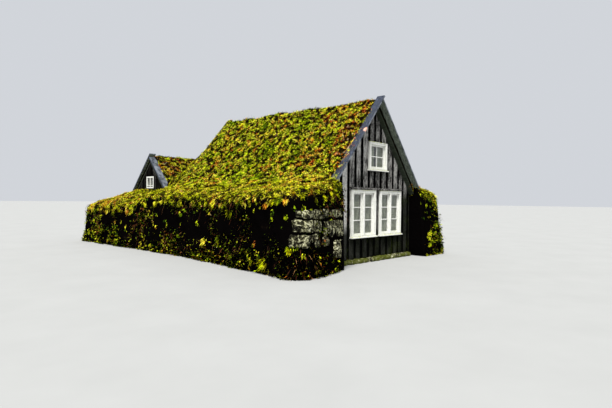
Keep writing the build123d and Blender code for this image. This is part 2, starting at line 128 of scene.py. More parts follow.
ROOF_HUES = painted(
    (0.22, 84, 120, 2), (0.34, 168, 200, 4), (0.46, 242, 250, 20), (0.56, 255, 252, 96),
    (0.63, 252, 170, 36), (0.71, 230, 84, 20), (0.79, 150, 58, 16), (0.88, 255, 246, 196))
TOP_HUES = painted(
    (0.22, 96, 122, 2), (0.34, 186, 200, 4), (0.47, 246, 244, 18), (0.60, 255, 248, 88),
    (0.69, 250, 176, 44), (0.79, 216, 104, 24), (0.90, 255, 244, 186))
LEAF_HUES = painted(
    (0.22, 44, 72, 4), (0.36, 130, 164, 8), (0.50, 220, 234, 22), (0.62, 240, 230, 60),
    (0.72, 184, 92, 26), (0.84, 96, 50, 24))
SHADE_HUES = painted(
    (0.22, 38, 60, 8), (0.40, 112, 144, 16), (0.54, 200, 208, 40), (0.66, 124, 74, 32),
    (0.76, 178, 102, 42), (0.90, 226, 218, 160))
TWIG_HUES = painted((0.2, 46, 30, 22), (0.5, 122, 70, 44), (0.8, 178, 132, 84))
LICHEN = painted(
    (0.42, 8, 7, 6), (0.48, 44, 42, 28), (0.53, 108, 107, 76), (0.58, 188, 186, 148),
    (0.68, 238, 235, 208))


class Finish:
    """One material and the nodes that make it."""

    def __init__(self, name, roughness, specular, more=None):
        self.material = bpy.data.materials.new(name)
        self.material.use_nodes = True
        self.nodes = self.material.node_tree.nodes
        self.links = self.material.node_tree.links
        self.shader = self.nodes["Principled BSDF"]
        self.feed(self.shader, {"Roughness": roughness, "Specular IOR Level": specular, **(more or {})})
        self.place = self.nodes.new("ShaderNodeTexCoord").outputs["Object"]

    def feed(self, node, inputs):
        """Sets or links the inputs of a node, and returns it."""
        for key, value in inputs.items():
            if isinstance(value, bpy.types.NodeSocket):
                self.links.new(value, node.inputs[key])
            else:
                node.inputs[key].default_value = value
        return node

    def output(self, kind, name, inputs):
        """One output of a new node."""
        return self.feed(self.nodes.new("ShaderNode" + kind), inputs).outputs[name]

    def stretched(self, scale):
        """The place on the object, scaled along each axis where a scale is given."""
        if scale is None:
            return self.place
        return self.output("Mapping", "Vector", {"Vector": self.place, "Scale": scale})

    def noise(self, scale, detail=3.0, rough=0.6, stretch=None, distortion=0.0):
        inputs = {"Vector": self.stretched(stretch), "Scale": scale, "Detail": detail, "Roughness": rough,
                  "Distortion": distortion}
        return self.output("TexNoise", "Fac", inputs)

    def cells(self, scale, stretch=None):
        return self.output("TexVoronoi", "Distance", {"Vector": self.stretched(stretch), "Scale": scale})

    def attribute(self, name):
        made = self.output("Attribute", "Fac", {})
        made.node.attribute_name = name
        return made

    def ramp(self, value, stops):
        """Colours along a value; stops are (position, colour)."""
        made = self.output("ValToRGB", "Color", {"Fac": value})
        elements = made.node.color_ramp.elements
        while len(elements) < len(stops):
            elements.new(1)
        for element, (position, colour) in zip(elements, stops):
            element.position = position
            element.color = colour
        return made

    def steps(self, value, low, high):
        """0 below low, 1 above high, and smooth between."""
        made = self.output("MapRange", "Result", {"Value": value, "From Min": low, "From Max": high})
        made.node.interpolation_type = "SMOOTHSTEP"
        return made

    def maths(self, kind, a, b=0.0):
        made = self.output("Math", "Value", {0: a, 1: b})
        made.node.operation = kind
        return made

    def times(self, a, b):
        return self.maths("MULTIPLY", a, b)

    def total(self, first, *others):
        """The sum of the terms; a term is a value or (value, weight)."""
        made = self.times(*first) if isinstance(first, tuple) else first
        for other in others:
            made = self.maths("ADD", made, self.times(*other) if isinstance(other, tuple) else other)
        return made

    def mix(self, share, a, b, kind="MIX"):
        node = self.nodes.new("ShaderNodeMix")
        node.data_type = "RGBA"
        node.blend_type = kind
        return self.feed(node, {0: share, 6: a, 7: b}).outputs[2]

    def axis(self, letter):
        """One coordinate of the place, in metres."""
        return self.output("SeparateXYZ", letter, {"Vector": self.place})

    def facing(self, letter):
        """How far the surface faces along one axis."""
        return self.output("SeparateXYZ", letter, {"Vector": self.output("NewGeometry", "Normal", {})})

    def near(self, point, radius):
        """1 within half the radius of the point, 0 beyond the radius."""
        node = self.nodes.new("ShaderNodeVectorMath")
        node.operation = "DISTANCE"
        distance = self.feed(node, {0: self.place, 1: point}).outputs["Value"]
        return self.steps(distance, radius, radius / 2)

    def finish(self, colour, bump=None, depth=0.005, roughness=None):
        """Ends the material; bump and roughness are optional."""
        inputs = {"Base Color": colour}
        if bump is not None:
            bumper = self.nodes.new("ShaderNodeBump")
            self.feed(bumper, {"Distance": depth, "Strength": 1.0, "Height": bump})
            inputs["Normal"] = bumper.outputs["Normal"]
        if roughness is not None:
            inputs["Roughness"] = roughness
        self.feed(self.shader, inputs)
        return self.material


# Painted shade that growth is multiplied by in the gaps between clumps: the darkest, and the one halfway to
# white
DEEP = ((0.01, 0.008, 0.006, 1), (0.4, 0.38, 0.33, 1))
SHALLOW = ((0.22, 0.19, 0.06, 1), (0.62, 0.58, 0.4, 1))
WHITE = (1, 1, 1, 1)
HUE_SHIFT = -0.42


def growth_finish(name, hues, root, warm=0.0, drier=None, gap_shades=DEEP):
    """Blades and leaves, with painted light and shade in clumps, darker and browner at the root as painted
    shade; drier is (from y, to y, how much).
    """
    f = Finish(name, 0.8, 0.04)
    hue = f.total((f.noise(1.3, 3.0), 0.7), (f.attribute("tint"), 0.55), (f.noise(7.0, 2.0), 0.5),
                  warm + HUE_SHIFT)
    if drier:
        hue = f.total(hue, (f.steps(f.axis("Y"), drier[0], drier[1]), drier[2]))
    # Towards the root the blades turn browner and darker: brown stems, and painted shade low in the growth
    along = f.ramp(f.attribute("along"), [(0.0, root), (0.3, (0.9, 0.9, 0.85, 1)), (1.0, WHITE)])
    # Clumps of painted shade, darkest in the gaps between them
    shade = f.ramp(f.noise(8.0, 0.7), [(0.41, gap_shades[0]), (0.46, gap_shades[1]), (0.50, WHITE)])
    colour = f.mix(1.0, f.ramp(hue, hues), along, "MULTIPLY")
    return f.finish(f.mix(1.0, colour, shade, "MULTIPLY"))


def soil_finish(name, dark, brown, moss, moss_share):
    """Bare turf: dark soil and roots, brown and mossy in patches, with painted shade on faces turned sideways
    or down.
    """
    f = Finish(name, 0.95, 0.0)
    fibres = f.noise(34.0, 6.0, 0.7)
    lumps = f.noise(11.0, 5.0, 0.7)
    patches = f.steps(f.noise(3.2, 4.0, 0.65), 0.62 - moss_share, 0.78 - moss_share)
    colour = f.mix(f.steps(fibres, 0.42, 0.72), dark, brown)
    colour = f.mix(f.times(patches, f.steps(lumps, 0.42, 0.6)), colour, moss)
    # Faces turned sideways or down take the dark colour: painted shade
    colour = f.mix(f.steps(f.facing("Z"), 0.45, 0.2), colour, dark)
    return f.finish(colour, f.total(lumps, (fibres, 0.4)), 0.03)


def stone_finish(name, moss_share):
    """Dark basalt under cream and grey lichen, with moss, and near-black pits of painted shade."""
    f = Finish(name, 0.92, 0.1)
    grain = f.noise(22.0, 6.0, 0.8)
    blotches = f.noise(11.0, 5.0, 0.75, distortion=0.8)
    colour = f.ramp(blotches, LICHEN)
    # The pits of the bump turn near-black: painted shade
    colour = f.mix(f.steps(grain, 0.50, 0.43), colour, paint(6, 5, 4))
    moss = f.steps(f.noise(5.0, 4.0), 0.72 - moss_share, 0.86 - moss_share)
    colour = f.mix(f.times(moss, 0.85), colour, paint(74, 80, 20))
    return f.finish(colour, f.total((f.cells(34.0), 0.6), grain), 0.018)


def board_finish(name, light, dark, algae_and_corner_shade, worn=1.0, shaded_sides=None):
    """Weathered upright boards: grey grain, dark streaks, painted shade on the boards' sides, and algae
    towards the ground.
    """
    f = Finish(name, 0.85, 0.02)
    pale = tuple(v * worn for v in paint(242, 240, 234)[:3]) + (1,)
    grain = f.noise(6.0, 6.0, 0.75, (16, 16, 0.6))
    fine = f.noise(9.0, 4.0, 0.7, (40, 40, 1.3))
    blotch = f.noise(2.6, 4.0, 0.6)
    tone = f.total((grain, 0.72), (f.attribute("tint"), 0.16), (blotch, 0.2))
    colour = f.ramp(tone, [(0.46, dark), (0.54, light), (0.64, pale)])
    colour = f.mix(f.steps(fine, 0.52, 0.42), colour, dark)
    # The algae colour climbs higher towards the corners, as painted shade beside the turf walls
    corners = f.steps(f.maths("ABSOLUTE", f.axis("X")), 1.25, 1.7)
    level = f.maths("SUBTRACT", f.axis("Z"), f.times(corners, 0.9))
    low = f.steps(f.total(level, (blotch, 0.8)), 1.65, 1.1)
    colour = f.mix(f.times(low, 0.95), colour, algae_and_corner_shade)
    green = f.times(f.steps(fine, 0.5, 0.62), f.steps(f.noise(1.7), 0.5, 0.66))
    colour = f.mix(f.times(green, f.times(low, 0.9)), colour, paint(62, 74, 18))
    # The boards' sides, in the gaps between them, take the dark colour: painted shade
    if shaded_sides:
        colour = f.mix(f.steps(f.maths("ABSOLUTE", f.facing(shaded_sides)), 0.5, 0.8), colour, dark)
    return f.finish(colour, f.total(grain, fine), 0.008)


def paint_finish():
    """White oil paint, greyed and streaked, with yellow-green moss on sills and along the casings' tops."""
    f = Finish("weathered_white_paint", 0.55, 0.4)
    streaks = f.noise(6.0, 5.0, 0.7, (9, 9, 1.1))
    specks = f.noise(60.0, 3.0, 0.7)
    colour = f.ramp(streaks, painted((0.30, 160, 162, 152), (0.44, 216, 217, 210), (0.7, 240, 240, 236)))
    colour = f.mix(f.steps(specks, 0.40, 0.30), colour, paint(110, 108, 92))
    moss = f.steps(f.facing("Z"), 0.4, 0.7)
    for top in CASING_TOPS:
        over = f.steps(f.axis("Z"), top - 0.022, top - 0.010)
        under = f.steps(f.axis("Z"), top + 0.02, top)
        moss = f.maths("MAXIMUM", moss, f.times(over, under))
    moss = f.times(moss, f.steps(f.noise(22.0), 0.44, 0.62))
    colour = f.mix(moss, colour, paint(168, 172, 46))
    return f.finish(colour, f.total(streaks, specks), 0.0015, f.steps(specks, 0.1, 1.4))


def barge_finish(chip):
    """Old blue-grey paint on planks, with a painted highlight on the paler end face, damp and green beneath;
    one bare chip.
    """
    f = Finish("weathered_blue_grey_paint", 0.7, 0.3)
    grain = f.noise(5.0, 6.0, 0.7, (2.0, 20, 2.0))
    mottle = f.noise(7.0, 5.0, 0.7)
    colour = f.ramp(grain, painted((0.36, 14, 17, 25), (0.5, 37, 44, 59), (0.66, 84, 93, 112)))
    # The end face is paler: painted highlight
    edge = f.ramp(mottle, painted((0.4, 44, 50, 58), (0.6, 120, 126, 134)))
    colour = f.mix(f.steps(f.facing("Y"), -0.5, -0.8), colour, edge)
    colour = f.mix(f.times(f.steps(f.noise(3.0), 0.56, 0.7), 0.6), colour, paint(44, 52, 36))
    damp = f.ramp(grain, painted((0.4, 36, 42, 36), (0.52, 104, 114, 102), (0.66, 172, 182, 166)))
    colour = f.mix(f.steps(f.facing("Z"), -0.1, -0.4), colour, damp)
    colour = f.mix(f.near(chip, 0.09), colour, paint(236, 178, 156))
    return f.finish(colour, f.total(grain, mottle), 0.004)


def overgrown_finish():
    """A verge board that moss and roots have covered."""
    f = Finish("mossy_verge_board", 0.9, 0.05)
    patches = f.noise(14.0, 4.0, 0.7)
    colour = f.ramp(patches, painted((0.38, 20, 20, 12), (0.5, 58, 56, 18), (0.62, 112, 112, 26)))
    return f.finish(colour, patches, 0.02)


def timber_finish():
    """Sawn inner timber, brown and dry."""
    f = Finish("inner_sawn_timber", 0.8, 0.25)
    grain = f.noise(4.0, 6.0, 0.7, (9, 1.2, 9))
    knots = f.cells(3.0, (2, 0.8, 2))
    colour = f.ramp(grain, painted((0.34, 62, 46, 32), (0.52, 108, 84, 58), (0.7, 142, 116, 84)))
    colour = f.mix(f.steps(knots, 0.10, 0.04), colour, paint(48, 32, 20))
    return f.finish(colour, grain, 0.003)


def underside_finish():
    """Roof boards whose underside shows beyond the gable: dark green-grey with damp patches; the darkness is
    partly painted shade under the turf's overhang.
    """
    f = Finish("damp_roof_boards", 0.85, 0.25)
    grain = f.noise(5.0, 6.0, 0.7, (12, 1.0, 12))
    damp = f.steps(f.noise(2.4, 4.0, 0.65), 0.5, 0.7)
    # Darker than the inner timber: painted shade under the overhang
    colour = f.ramp(grain, painted((0.34, 20, 24, 18), (0.52, 48, 56, 44), (0.7, 84, 90, 76)))
    colour = f.mix(f.times(damp, 0.7), colour, paint(34, 44, 24))
    return f.finish(colour, grain, 0.003)


def glass_finish():
    """Thin old window glass."""
    f = Finish("old_window_glass", 0.03, 0.5, {"Transmission Weight": 1.0, "IOR": 1.45})
    grime = f.ramp(f.noise(5.0, 4.0), [(0.4, (0.93, 0.95, 0.93, 1)), (0.75, (0.72, 0.74, 0.68, 1))])
    return f.finish(grime, f.noise(9.0, 2.0), 0.0008)


def cloth_finish():
    """Thin pale curtain cotton, with its weave."""
    f = Finish("pale_curtain_cotton", 0.95, 0.1, {"Sheen Weight": 0.2})
    weave = f.noise(420.0, 2.0, 0.5, (1, 1, 0.5))
    colour = f.ramp(f.noise(3.0, 3.0), painted((0.35, 126, 132, 112), (0.6, 168, 172, 154)))
    return f.finish(colour, weave, 0.0006)


def brass_finish():
    """Dull brass of the curtain rods."""
    f = Finish("dull_brass", 0.42, 0.5, {"Metallic": 1.0})
    tarnish = f.noise(30.0, 4.0)
    colour = f.ramp(tarnish, painted((0.4, 150, 120, 62), (0.65, 92, 74, 44)))
    return f.finish(colour, tarnish, 0.0005, f.steps(tarnish, 0.1, 1.2))


# The roots' colour: brown stems, darkened as painted shade
GRASS_ROOT_BROWN_AND_SHADE = (0.3, 0.26, 0.1, 1)

roof_grass = growth_finish("roof_grass", ROOF_HUES, GRASS_ROOT_BROWN_AND_SHADE, 0.0, (1.6, -0.1, 0.13))
wing_grass = growth_finish("wing_roof_grass", ROOF_HUES, GRASS_ROOT_BROWN_AND_SHADE, 0.07)
top_grass = growth_finish("wall_top_grass", TOP_HUES, GRASS_ROOT_BROWN_AND_SHADE, 0.0, (6.5, 9.5, 0.1), SHALLOW)
face_leaves = growth_finish("wall_leaves", LEAF_HUES, (0.3, 0.28, 0.12, 1))
shade_leaves = growth_finish("shaded_leaves", SHADE_HUES, (0.3, 0.28, 0.2, 1))
face_twigs = growth_finish("wall_twigs", TWIG_HUES, (0.5, 0.45, 0.4, 1))
wall_soil = soil_finish("dark_turf", paint(5, 4, 4), paint(34, 26, 15), paint(58, 62, 14), 0.0)
roof_soil = soil_finish("roof_turf_soil", paint(12, 9, 3), paint(44, 34, 10), paint(80, 84, 10), 0.06)
stones = stone_finish("lichened_stone", 0.1)
mossy_stones = stone_finish("mossy_footing_stone", 0.34)
grey_boards = board_finish("weathered_grey_boards", paint(218, 216, 210), paint(9, 8, 7), paint(11, 15, 5),
                           shaded_sides="X")
dark_boards = board_finish("dark_gable_boards", paint(20, 17, 14), paint(7, 6, 5), paint(9, 11, 5), 0.12)
# Near-black under-boards: painted shade in the gaps between the boards in front
shade_boards = board_finish("under_boards_painted_shade", paint(7, 7, 6), paint(2, 2, 2), paint(3, 4, 2), 0.05)
white_paint = paint_finish()
blue_grey = barge_finish(BOARD_CHIP)
mossy_board = overgrown_finish()
timber = timber_finish()
damp_shaded_underside = underside_finish()
glass = glass_finish()
curtain_cloth = cloth_finish()
brass = brass_finish()


# Meshes


def in_scene(name, data):
    """A new object in the scene."""
    made = bpy.data.objects.new(name, data)
    bpy.context.scene.collection.objects.link(made)
    return made


def mesh_object(name, points, faces, material, attributes=None, normals=None):
    """A new smooth piece whose faces have the same number of corners, on the house's one body."""
    mesh = bpy.data.meshes.new(name)
    points = np.asarray(points, np.float32)
    faces = np.asarray(faces, np.int32)
    count, corners = faces.shape
    mesh.vertices.add(len(points))
    mesh.vertices.foreach_set("co", points.ravel())
    mesh.loops.add(count * corners)
    mesh.loops.foreach_set("vertex_index", faces.ravel())
    mesh.polygons.add(count)
    mesh.polygons.foreach_set("loop_start", np.arange(0, count * corners, corners, dtype=np.int32))
    for key, values in (attributes or {}).items():
        mesh.attributes.new(key, "FLOAT", "POINT").data.foreach_set("value", np.asarray(values, np.float32))
    mesh.update(calc_edges=True)
    mesh.polygons.foreach_set("use_smooth", np.full(count, True))
    if normals is not None:
        mesh.normals_split_custom_set_from_vertices(unit(normals).astype(np.float32))
    mesh.materials.append(material)
    piece = in_scene(name, mesh)
    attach(piece, "root")
    return piece


def triples(items, key, kind):
    """One value of three numbers for each item of a mesh."""
    values = np.zeros(len(items) * 3, kind)
    items.foreach_get(key, values)
    return values.reshape(-1, 3)


def arrays(mesh):
    """Points, vertex normals and triangles of a mesh."""
    mesh.calc_loop_triangles()
    points = triples(mesh.vertices, "co", np.float32)
    normals = triples(mesh.vertices, "normal", np.float32)
    return points.astype(float), normals.astype(float), triples(mesh.loop_triangles, "vertices", np.int32)


def merged(parts):
    """Several meshes as one; each part starts with its points and ends with its faces."""
    starts = itertools.accumulate([len(part[0]) for part in parts], initial=0)
    faces = [part[-1] + start for part, start in zip(parts, starts)]
    return np.concatenate([part[0] for part in parts]), np.concatenate(faces)


def grid_quads(rows, columns):
    """The quads of a grid of points numbered row by row."""
    index = np.arange(rows * columns).reshape(rows, columns)
    return np.stack([index[:-1, :-1], index[1:, :-1], index[1:, 1:], index[:-1, 1:]], axis=-1).reshape(-1, 4)


def put_points(mesh, points):
    """Moves the points of a mesh, none of them below the ground."""
    points[:, 2] = np.maximum(points[:, 2], 0)
    mesh.vertices.foreach_set("co", points.astype(np.float32).ravel())


def applied(piece):
    """Applies a piece's modifiers to its mesh."""
    graph = bpy.context.evaluated_depsgraph_get()
    mesh = bpy.data.meshes.new_from_object(piece.evaluated_get(graph))
    piece.modifiers.clear()
    piece.data = mesh


def turf_mass(node, voxel, share, bumps, keep, material):
    """A node's solid with the lumps of real turf; keep() says where it may move, from 0 to 1."""
    piece = in_scene(node + "_lumps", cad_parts[node].data.copy())
    remesh = piece.modifiers.new("voxels", "REMESH")
    remesh.mode = "VOXEL"
    remesh.voxel_size = voxel
    applied(piece)
    points, normals = arrays(piece.data)[:2]
    shift = np.zeros(len(points))
    for size, height, seed in bumps:
        shift += height * noise(points, size, seed)
    points += normals * (shift * keep(points, normals))[:, None]
    put_points(piece.data, points)
    piece.data.update()
    fewer = piece.modifiers.new("fewer", "DECIMATE")
    fewer.ratio = share
    applied(piece)
    put_points(piece.data, arrays(piece.data)[0])
    piece.data.polygons.foreach_set("use_smooth", np.full(len(piece.data.polygons), True))
    piece.data.materials.clear()
    piece.data.materials.append(material)
    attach(piece, "root")
    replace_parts(piece, node)
    return piece


# The turf itself

# Growth stays above the ground and within the house's outline, as far as turf overhangs it
GROWTH_LOW = np.array(cad_box[0]) - [0.2, 0.2, -0.004]
GROWTH_HIGH = np.array(cad_box[1]) + [0.2, 0.3, 0.12]


def away_from_timber(points, normals):
    """1 on open turf, and 0 on the planes that carry the timber."""
    side = np.clip((np.abs(points[:, 0]) - HALF_WIDTH) / 0.12, 0, 1)
    side = np.where((points[:, 1] < -0.4) & (points[:, 0] < 0), side * 0.4, side)
    ends = (points[:, 1] > SIDE_WALL_END + 0.1) & (normals[:, 2] > 0.2)
    return np.where(ends, 1.0, side)


def tilted(up, least):
    """0 where a surface faces up by no more than the least, 1 where by 0.2 more."""
    return np.clip((up - least) * 5, 0, 1)


def upper_side(points, normals):
    return tilted(normals[:, 2], 0.2)


# Lumps of turf: size, height and seed
WALL_BUMPS = [(0.75, 0.05, 11), (0.3, 0.04, 12), (0.12, 0.022, 13)]
TOP_BUMPS = [(0.6, 0.03, 21), (0.22, 0.035, 22), (0.1, 0.015, 23)]

walls = {node: turf_mass(node, 0.05, 0.32, WALL_BUMPS, away_from_timber, wall_soil)
         for node in ("left_turf_wall", "right_turf_wall", "wing_left_turf_bank", "wing_right_turf_bank",
                      "rear_turf_wall")}
walls["middle_turf_wall"] = turf_mass("middle_turf_wall", 0.06, 0.3, TOP_BUMPS, away_from_timber, wall_soil)
roofs = {node: turf_mass(node, 0.045, 0.25, TOP_BUMPS, upper_side, roof_soil)
         for node in ("left_roof_turf", "right_roof_turf", "wing_front_roof_turf", "wing_rear_roof_turf")}


# Growth on the turf

# How far off the surface the search for cover starts, and how far it reaches
LIFTED = 0.035
COVER = 0.16


# A search tree of every turf mass and boarded gable, to tell what is open to the sky
gables = [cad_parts[name + "_gable_boards"] for name in ("wing", "rear", "front")]
solid = merged([arrays(piece.data) for piece in [*walls.values(), *roofs.values(), *gables]])
tree = BVHTree.FromPolygons(solid[0].tolist(), solid[1].tolist())


def open_spots(pieces, per_square_metre, region, seed, free=COVER):
    """Random places and normals on the pieces, where region() is above 0 and nothing lies close over them."""
    random = rng(seed)
    places, directions = [], []
    for piece in pieces:
        points, normals, triangles = arrays(piece.data)
        corners = points[triangles]
        centres = corners.mean(axis=1)
        one, other = corners[:, 1] - corners[:, 0], corners[:, 2] - corners[:, 0]
        area = np.linalg.norm(np.cross(one, other), axis=1) / 2
        facing = unit(normals[triangles].sum(axis=1))
        share = region(centres, *centres.T, facing[:, 2])
        expected = area * per_square_metre * np.maximum(share, 0)
        chosen = np.repeat(np.arange(len(triangles)), random.poisson(expected))
        a, b = random.random((2, len(chosen)))
        flip = a + b > 1
        a, b = np.where(flip, 1 - a, a), np.where(flip, 1 - b, b)
        places.append(corners[chosen, 0] + a[:, None] * one[chosen] + b[:, None] * other[chosen])
        directions.append(facing[chosen])
    places, directions = np.concatenate(places), np.concatenate(directions)
    starts = places + directions * LIFTED
    clear = [tree.ray_cast(Vector(p), Vector(d), free)[0] is None for p, d in zip(starts, directions)]
    return places[clear], directions[clear]


def tangents(normals):
    """Two directions along the surface: along the contour, and up the slope."""
    first = unit(np.cross(UP + 1e-4 * np.array([1.0, 0.3, 0.0]), normals))
    return first, unit(np.cross(normals, first))


def downhill(normals):
    """The fall line, short where the turf lies level."""
    return -UP + normals * normals[:, 2:3]


def blades(root, direction, facing, length, width, droop, random):
    """Bent blades of two triangles each, widest in the middle: points and triangles."""
    side = unit(np.cross(direction, facing + random.normal(scale=0.4, size=root.shape))) * width[:, None] / 2
    length = length[:, None]
    middle = root + direction * length * 0.45 + droop * length * 0.1
    tip = root + direction * length * 0.85 + droop * length * 0.45
    points = np.stack([root, middle - side, middle + side, tip], axis=1)
    pattern = np.array([[0, 2, 1], [1, 2, 3]])
    triangles = pattern[None] + 4 * np.arange(len(root))[:, None, None]
    return points.reshape(-1, 3), triangles.reshape(-1, 3)


# How far along a blade, a spike and a leaf each of its points lies
BLADE = (0.0, 0.5, 0.5, 1.0)
SPIKE = (0.2, 0.2, 1.0)
LEAF = (0.3, 0.8, 1.0, 0.8)


def grown(name, points, triangles, look, along, tint, facing, random):
    """A piece of small growth, lit as the turf under it, turned up a little and uneven."""
    each = len(along)
    points = np.clip(points, GROWTH_LOW, GROWTH_HIGH)
    lit = unit(facing + 0.5 * UP + random.normal(scale=0.35, size=facing.shape))
    attributes = {"along": np.tile(along, len(facing)), "tint": np.repeat(tint, each)}
    return mesh_object(name, points, triangles, look, attributes, normals=np.repeat(lit, each, axis=0))


def tufts(name, spots, look, slot, seed, each=20, radius=0.04, length=0.082, width=0.012, fall=0.4,
          spread=1.1, lift=0.5, sag=0.3):
    """Tufts of grass or small ferns at the spots, combed down the slope."""
    random = rng(seed)
    places, normals = spots
    count = len(places)
    size = random.uniform(0.6, 1.4, (count, 1, 1))
    first, second = tangents(normals)
    angle = random.uniform(0, 2 * math.pi, (count, each, 1))
    reach = np.sqrt(random.random((count, each, 1)))
    radial = np.cos(angle) * first[:, None] + np.sin(angle) * second[:, None]
    comb = downhill(normals)[:, None] + 0.3 * random.normal(size=(count, 1, 3))
    root = places[:, None] + radial * reach * radius * size - normals[:, None] * 0.015
    direction = unit(normals[:, None] * lift + radial * reach * spread + comb * fall
                     + random.normal(scale=0.2, size=(count, each, 3)))
    long = length * size * random.uniform(0.5, 1.15, (count, each, 1)) * (1.1 - 0.35 * reach)
    droop = np.broadcast_to(unit(comb - 0.6 * UP) * sag, direction.shape)
    wide = width * random.uniform(0.6, 1.3, count * each)
    under = np.repeat(normals, each, axis=0)
    points, triangles = blades(root.reshape(-1, 3), direction.reshape(-1, 3), under, long.reshape(-1), wide,
                               droop.reshape(-1, 3), random)
    tint = random.random((count, 1)) * 0.75 + random.random((count, each)) * 0.25
    facing = (normals[:, None] + 0.5 * radial * reach).reshape(-1, 3)
    return grown(name, points, triangles, look, BLADE, tint.reshape(-1), facing, random)


def spikes(name, spots, look, slot, seed, length, width, fall=0.3, wild=0.45):
    """Single short straight blades, as moss and young grass between the tufts."""
    random = rng(seed)
    places, normals = spots
    count = len(places)
    direction = unit(normals * 0.8 + downhill(normals) * fall + random.normal(scale=wild, size=(count, 3)))
    side = unit(np.cross(direction, normals + random.normal(scale=0.4, size=(count, 3)))) * width / 2
    root = places - normals * 0.01
    tip = root + direction * (length * random.uniform(0.4, 1.2, count))[:, None]
    points = np.stack([root - side, root + side, tip], axis=1).reshape(-1, 3)
    tint = 0.5 + 0.5 * noise(places, 0.13, seed + 500) + random.uniform(-0.15, 0.15, count)
    triangles = np.arange(3 * count).reshape(-1, 3)
    return grown(name, points, triangles, look, SPIKE, np.clip(tint, 0, 1), normals, random)


def hanging(name, spots, look, slot, seed, length, width):
    """Single thin twigs that hang down a wall."""
    random = rng(seed)
    places, normals = spots
    count = len(places)
    direction = unit(normals * 0.5 - 0.35 * UP + random.normal(scale=0.3, size=(count, 3)))
    droop = np.broadcast_to(-UP * 1.1, direction.shape)
    long = random.uniform(0.35, 1.0, count) * length
    wide = width * random.uniform(0.6, 1.3, count)
    points, triangles = blades(places - normals * 0.01, direction, normals, long, wide, droop, random)
    return grown(name, points, triangles, look, BLADE, random.random(count), normals, random)


def leaves(name, spots, look, slot, seed, size):
    """Small pointed leaves, folded along the middle, hanging a little off the wall."""
    random = rng(seed)
    places, normals = spots
    count = len(places)
    stem = unit(normals * 0.35 - 0.6 * UP + random.normal(scale=0.55, size=(count, 3)))
    side = unit(np.cross(stem, normals + random.normal(scale=0.4, size=(count, 3))))
    long = (size * random.uniform(0.4, 1.3, count))[:, None]
    root = places + normals * random.uniform(0.0, 0.05, count)[:, None]
    lifted = root + stem * long * 0.45 + normals * long * 0.08
    half = side * long * 0.2
    points = np.stack([root, lifted - half, root + stem * long, lifted + half], axis=1).reshape(-1, 3)
    pattern = np.array([[0, 1, 2], [0, 2, 3]])
    triangles = (pattern[None] + 4 * np.arange(count)[:, None, None]).reshape(-1, 3)
    return grown(name, points, triangles, look, LEAF, random.random(count), normals, random)


# Where growth stands: each region gives its share at places at x, y and z whose surface faces up that much


def edge_height(y):
    """Height of the outer edge of the walls' tops."""
    return np.interp(y, [NOSE_Y, 3.4, SIDE_WALL_END, SIDE_WALL_END + 0.7, REAR_Y],
                     [1.79, 1.67, 1.67, 1.39, 1.39])


def on_top(places, x, y, z, up):
    """The walls' tops and the upper part of their rolled edge."""
    return tilted(up, 0.3) * ((np.abs(x) > HALF_WIDTH + 0.02) | (y > REAR_GABLE_Y))


def on_brow(places, x, y, z, up):
    """The rolled edge and the strip of wall right below it, in uneven patches."""
    outside = (np.abs(x) > HALF_WIDTH + 0.04) | (y > WING_REAR_Y + 0.2)
    low = edge_height(y) - (0.22 + 0.1 * noise(places, 0.5, 33))
    band = (z > low) & (up < 0.75) & (up > -0.3)
    return band * outside * np.clip(0.75 + 1.1 * noise(places, 0.22, 34), 0.1, 1)


def outer_face(x, y, up):
    """The open upright faces of the walls."""
    return ((np.abs(x) > HALF_WIDTH + 0.04) | (y > REAR_Y - 0.7)) * (np.abs(up) < 0.55)


def on_face(places, x, y, z, up):
    """Thick hanging growth at the back and on the right wall, little of it on the left wall's front half."""
    patches = np.clip(np.where(x > 0, 0.8, 0.5) + 1.5 * noise(places, 0.3, 31), 0, 1)
    back = np.where(x > 0, 1.0, np.interp(y, [-1, 3.5, 5.6, 7.0], [0.10, 0.12, 0.75, 1.0]))
    return outer_face(x, y, up) * back * patches


def near_ground(places, x, y, z, up):
    """Low growth at the foot of the walls, rising in places."""
    low = np.clip((0.46 + 0.4 * noise(places, 0.8, 35) - z) * 3, 0, 1)
    return outer_face(x, y, up) * low * (noise(places, 0.13, 37) > -0.1)


def scattered(places, x, y, z, up):
    """A thin scatter over all the walls' faces."""
    return outer_face(x, y, up) * np.clip(0.3 + 1.2 * noise(places, 0.5, 36), 0, 1)


def along_ridge(places, x, y, z, up):
    """The top of the roofs."""
    return np.clip((z - 3.4) * 1.5, 0, 1) * (up > 0.2)


def along_eaves(places, x, y, z, up):
    """The foot of the main roof, where its turf meets the walls' tops."""
    return (z < edge_height(y) + 0.42) * (up > -0.4)


def over_boards(places, x, y, z, up):
    """The back part of the front left verge board, and nearly all of the rear ones."""
    rear = y > REAR_GABLE_Y - 0.3
    front = (y > -0.165) & (z < GABLE_PEAK - 0.25) & (x < 0)
    return (rear | front) * (up > 0.3)


VERGE_BOARD = 0.23
FRONT_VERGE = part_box("front_right_bargeboard")[0].y + VERGE_BOARD
WING_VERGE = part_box("wing_bargeboards")[1].x - VERGE_BOARD


def open_roof(places, x, y, z, up):
    """The roofs' upper side where no verge board lies on it."""
    clear = np.where(y > REAR_GABLE_Y + 0.2, np.abs(x) < WING_VERGE, y > FRONT_VERGE)
    return tilted(up, 0.2) * clear


def grow(prefix, masses, slot, seed, layers):
    """Layers of growth: maker, name, number a square metre, region, seed of the places, look, seed, shape."""
    for maker, name, share, region, place_seed, look, own_seed, shape in layers:
        spots = open_spots(masses, share, region, place_seed + seed)
        maker(prefix + name, spots, look, slot, own_seed + seed, **shape)


